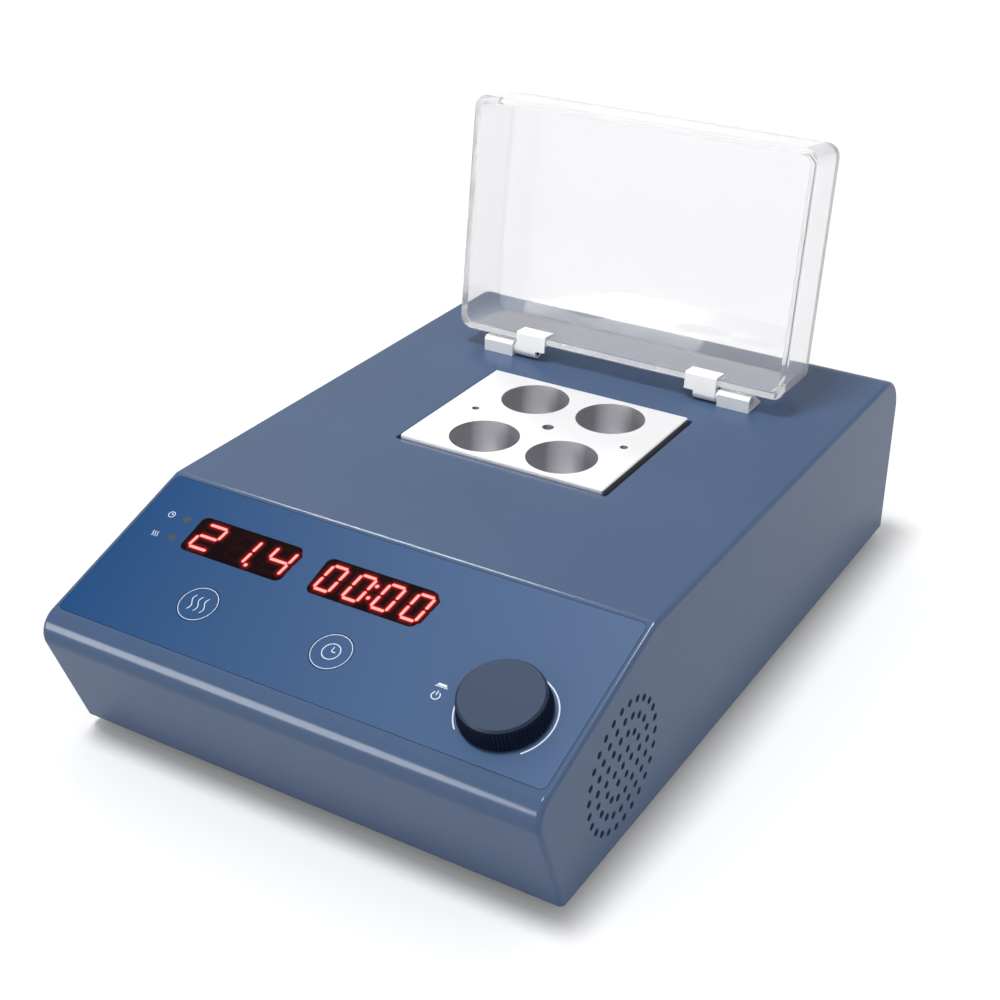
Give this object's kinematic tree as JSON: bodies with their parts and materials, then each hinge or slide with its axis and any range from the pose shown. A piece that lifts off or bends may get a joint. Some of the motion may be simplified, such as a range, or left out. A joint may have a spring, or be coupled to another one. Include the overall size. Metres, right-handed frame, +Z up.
{
  "type": "dry bath incubator",
  "caption": "Bench dry bath with a sloped control panel, rotary knob, lift-out heating block with tube wells, and a clear hinged lid.",
  "frame": {"origin": "on the table, under the centre of the housing", "axes": "+Z up, -Y towards the user and the control panel, +X to the user's right"},
  "size_m": [0.216, 0.33, 0.2007],
  "materials": {
    "cover_paint": "satin powder coat",
    "zinc_steel": "satin",
    "screw_steel": "satin",
    "foot_rubber": "matte",
    "well_steel": "satin",
    "gasket_rubber": "matte",
    "insulation": "fibrous",
    "heater_rubber": "matte",
    "plate_aluminium": "machined",
    "probe_steel": "satin",
    "block_aluminium": "bead blasted",
    "overlay_film": "satin film",
    "window_film": "gloss",
    "black_plastic": "matte",
    "lens_plastic": "satin",
    "key_film": "satin film",
    "circuit_board": "satin",
    "knob_plastic": "fine matte",
    "fan_plastic": "satin",
    "pin_steel": "polished",
    "washer_plastic": "matte",
    "hinge_aluminium": "satin",
    "clip_aluminium": "satin",
    "lid_acrylic": "clear",
    "inlet_plastic": "matte",
    "blade_brass": "bright",
    "fuse_glass": "gloss",
    "rocker_plastic": "satin",
    "transformer_core": "varnished",
    "capacitor_sleeve": "gloss",
    "terminal_plastic": "satin"
  },
  "bodies": {
    "chassis": {"housing": "cover_paint", "base_plate": "zinc_steel", "feet": "foot_rubber", "block_well": "well_steel", "well_gasket": "gasket_rubber", "insulation_jacket": "insulation", "insulation_pad": "insulation", "heater_mat": "heater_rubber", "heater_plate": "plate_aluminium", "temperature_probe": "probe_steel", "thermal_cutout": "zinc_steel", "well_pillars": "screw_steel", "control_overlay": "overlay_film", "temperature_window": "window_film", "timer_window": "window_film", "temperature_display": "black_plastic", "timer_display": "black_plastic", "indicator_lenses": "lens_plastic", "indicator_lamps": "lens_plastic", "heat_switch": "black_plastic", "timer_switch": "black_plastic", "control_board": "circuit_board", "buzzer": "black_plastic", "encoder_body": "zinc_steel", "encoder_nut": "screw_steel", "fan_frame": "black_plastic", "hinge_pins": "pin_steel", "hinge_washers": "washer_plastic", "hinge_base_left": "hinge_aluminium", "hinge_base_right": "hinge_aluminium", "inlet_body": "inlet_plastic", "inlet_blades": "blade_brass", "rocker_frame": "inlet_plastic", "power_board": "circuit_board", "power_board_pillars": "screw_steel", "transformer": "transformer_core", "capacitor": "capacitor_sleeve", "terminal_block": "terminal_plastic", "triac_heatsink": "plate_aluminium"},
    "lid_body": {"lid": "lid_acrylic", "hinge_clip_left": "clip_aluminium", "hinge_clip_right": "clip_aluminium"},
    "block_body": {"heating_block": "block_aluminium"},
    "heat_key_body": {"heat_key": "key_film"},
    "timer_key_body": {"timer_key": "key_film"},
    "encoder_rotor_body": {"encoder_rotor": "black_plastic"},
    "knob_body": {"knob": "knob_plastic", "encoder_shaft": "screw_steel"},
    "fan_body": {"fan_rotor": "fan_plastic"},
    "drawer_body": {"fuse_drawer": "inlet_plastic", "fuse": "fuse_glass"},
    "rocker_body": {"rocker": "rocker_plastic"}
  },
  "joints": [
    {"name": "lid_hinge", "type": "hinge", "parent": "chassis", "child": "lid_body", "pos_m": [0, 0.08956, 0.0893], "axis": [-1, 0, 0], "range_deg": [-97.7, 0]},
    {"name": "block_lift", "type": "slide", "parent": "chassis", "child": "block_body", "axis": [0, 0, 1], "range_m": [0, 0.06]},
    {"name": "heat_key_press", "type": "slide", "parent": "chassis", "child": "heat_key_body", "axis": [0, 0.3223, -0.9466], "range_m": [0, 0.0004], "stiffness_N_per_m": 700, "springref_m": -0.0003},
    {"name": "timer_key_press", "type": "slide", "parent": "chassis", "child": "timer_key_body", "axis": [0, 0.3223, -0.9466], "range_m": [0, 0.0004], "stiffness_N_per_m": 700, "springref_m": -0.0003},
    {"name": "knob_turn", "type": "hinge", "parent": "chassis", "child": "encoder_rotor_body", "pos_m": [0.0782, -0.13624, 0.06844], "axis": [0, -0.3223, 0.9466], "continuous": true},
    {"name": "knob_press", "type": "slide", "parent": "encoder_rotor_body", "child": "knob_body", "axis": [0, 0.3223, -0.9466], "range_m": [0, 0.0005], "stiffness_N_per_m": 1500, "springref_m": -0.0004},
    {"name": "fan_spin", "type": "hinge", "parent": "chassis", "child": "fan_body", "pos_m": [0.09, -0.1063, 0.0389], "axis": [1, 0, 0], "continuous": true},
    {"name": "fuse_drawer_pull", "type": "slide", "parent": "chassis", "child": "drawer_body", "axis": [0, 1, 0], "range_m": [0, 0.018]},
    {"name": "rocker_tip", "type": "hinge", "parent": "chassis", "child": "rocker_body", "pos_m": [-0.074, 0.1592, 0.036], "axis": [1, 0, 0], "range_deg": [0, 20]}
  ]
}
